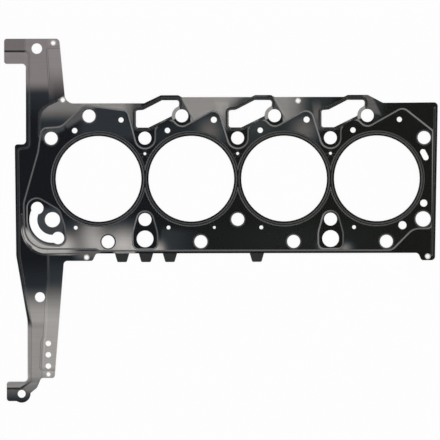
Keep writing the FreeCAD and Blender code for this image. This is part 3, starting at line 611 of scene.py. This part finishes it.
def makeRivets():
    nodes = sorted(name for name in cadNodes if name.startswith("rivet_"))
    boxes = [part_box(name) for name in nodes]
    places = bpy.data.meshes.new("rivetPlaces")
    places.from_pydata([(low + high) / 2 for low, high in boxes], [], [])
    low, high = boxes[0]
    values = {**rivets, "Height": high.z - low.z, "Material": rivetSteel}
    mesh = runTree("hollowRivets", places, hollowRivetTree(), values)
    placePiece("hollowRivets", mesh, nodes)
    mesh.shade_smooth()
    mesh.set_sharp_from_angle(angle=shading["sharpAngle"])


makeRivets()


def dressNode(name, material):
    mesh = cadNodes[name].data
    mesh.materials.clear()
    mesh.materials.append(material)


dressNode("carrier_layer", carrierSteel)
for nodeName in cadNodes:
    if nodeName.startswith("stopper_ring"):
        dressNode(nodeName, stopperSteel)
print("carrier, rings and rivets dressed")


# Studio: white floor and a pale room, dark overhead, with a round soft light about the camera

studio = {
    "floorSize": 6.0,
    "floor": "f4f4f4",
    # the share of the floor that shows plain white, which leaves a faint shadow
    "floorWhite": 0.85,
    # both edges of the light, in degrees from overhead: where it is out, and where it is full
    "lightEdges": ((8.5, 10.5), (25.0, 22.0)),
    "light": 3.3,
    "side": 0.62,
    "overhead": 0.03,
    # the light is stronger from this direction, anticlockwise from the right, by this share
    "keyDirection": 30.0,
    "keyShare": 0.4,
    # below this height above the horizon, mirrors show the white backdrop
    "backdropTop": 20.0,
}

# The frame: its width in pixels, what a pixel spans on the part, the place in its middle and how far
# the camera is turned clockwise, in degrees. The camera stands cameraHeight above the part's top and
# sees as far as farthest, both in metres.
photo = {
    "pixels": 440,
    "pixelSize": 1.0617 * mm,
    "middle": (-18.90 * mm, -43.89 * mm),
    "tilt": 0.12,
    "cameraHeight": 6.0,
    "farthest": 30.0,
    "sensor": 36.0,
}
white = (1, 1, 1, 1)


# Matt white paper, which shows its own white to the camera and to mirrors
def makeFloor():
    half = studio["floorSize"] / 2
    corners = [(-half, -half, 0), (half, -half, 0), (half, half, 0), (-half, half, 0)]
    mesh = bpy.data.meshes.new("floor")
    mesh.from_pydata(corners, [], [(0, 1, 2, 3)])
    floor = bpy.data.objects.new("floor", mesh)
    bpy.context.scene.collection.objects.link(floor)
    material, tree = newMaterial("whitePaper")
    path = addNode(tree, "ShaderNodeLightPath").outputs
    mirrored = addNode(tree, "ShaderNodeMath", {0: path["Is Glossy Ray"], 1: path["Is Transmission Ray"]},
                       operation="MAXIMUM")
    seen = addNode(tree, "ShaderNodeMath", {0: path["Is Camera Ray"], 1: mirrored}, operation="MAXIMUM")
    share = addNode(tree, "ShaderNodeMath", {0: seen, 1: studio["floorWhite"]}, operation="MULTIPLY")
    paper = addNode(tree, "ShaderNodeBsdfDiffuse", {"Color": hexColour(studio["floor"])})
    glow = addNode(tree, "ShaderNodeEmission", {"Color": white, "Strength": 1.0})
    shader = addNode(tree, "ShaderNodeMixShader", {0: share, 1: paper, 2: glow})
    addNode(tree, "ShaderNodeOutputMaterial", {"Surface": shader})
    mesh.materials.append(material)


def makeRoom():
    world = bpy.data.worlds.new("room")
    bpy.context.scene.world = world
    world.use_nodes = True
    tree = world.node_tree
    tree.nodes.clear()
    direction = addNode(tree, "ShaderNodeTexCoord").outputs["Generated"]
    up = addNode(tree, "ShaderNodeSeparateXYZ", {0: direction}).outputs["Z"]
    turn = math.radians(studio["keyDirection"])
    key = [studio["keyShare"] * studio["light"] * part for part in (math.cos(turn), math.sin(turn), 0)]
    sideways = addNode(tree, "ShaderNodeVectorMath", {0: direction, 1: (1, 1, 0)}, operation="MULTIPLY")
    heading = addNode(tree, "ShaderNodeVectorMath", {0: sideways}, operation="NORMALIZE")
    toKey = addNode(tree, "ShaderNodeVectorMath", {0: heading, 1: key}, operation="DOT_PRODUCT")
    ring = addNode(tree, "ShaderNodeMath", {0: toKey.outputs["Value"], 1: studio["light"]},
                   operation="ADD")
    edges = [[math.cos(math.radians(angle)) for angle in edge] for edge in studio["lightEdges"]]
    for out, full in edges:
        ring = addNode(tree, "ShaderNodeMapRange", {"Value": up, "From Min": out, "From Max": full,
                                                    "To Max": ring}, interpolation_type="SMOOTHSTEP")
    base = addNode(tree, "ShaderNodeMapRange", {
        "Value": up, "From Min": edges[1][0], "From Max": edges[0][0], "To Min": studio["side"],
        "To Max": studio["overhead"]})
    level = addNode(tree, "ShaderNodeMath", {0: ring, 1: base}, operation="ADD")
    path = addNode(tree, "ShaderNodeLightPath").outputs
    mirrored = addNode(tree, "ShaderNodeMath", {0: path["Is Glossy Ray"], 1: path["Is Transmission Ray"]},
                       operation="MAXIMUM")
    backdropTop = math.sin(math.radians(studio["backdropTop"]))
    low = addNode(tree, "ShaderNodeMath", {0: up, 1: backdropTop}, operation="LESS_THAN")
    backdrop = addNode(tree, "ShaderNodeMath", {0: mirrored, 1: low}, operation="MULTIPLY")
    plain = addNode(tree, "ShaderNodeMath", {0: path["Is Camera Ray"], 1: backdrop}, operation="MAXIMUM")
    strength = addNode(tree, "ShaderNodeMix", {"Factor": plain, "A": level, "B": 1.0})
    background = addNode(tree, "ShaderNodeBackground", {"Color": white, "Strength": strength})
    addNode(tree, "ShaderNodeOutputWorld", {"Surface": background})


def makeCamera():
    camera = bpy.data.cameras.new("camera")
    width = photo["pixels"] * photo["pixelSize"]
    camera.sensor_width = photo["sensor"]
    camera.lens = photo["sensor"] * photo["cameraHeight"] / width
    camera.clip_end = photo["farthest"]
    holder = bpy.data.objects.new("camera", camera)
    top = cadBox[1][2]
    holder.location = (photo["middle"][0], photo["middle"][1], top + photo["cameraHeight"])
    holder.rotation_euler = (0, 0, math.radians(-photo["tilt"]))
    bpy.context.scene.collection.objects.link(holder)
    bpy.context.scene.camera = holder


makeFloor()
makeRoom()
makeCamera()
bpy.context.scene.view_settings.view_transform = "Standard"
print("studio set")
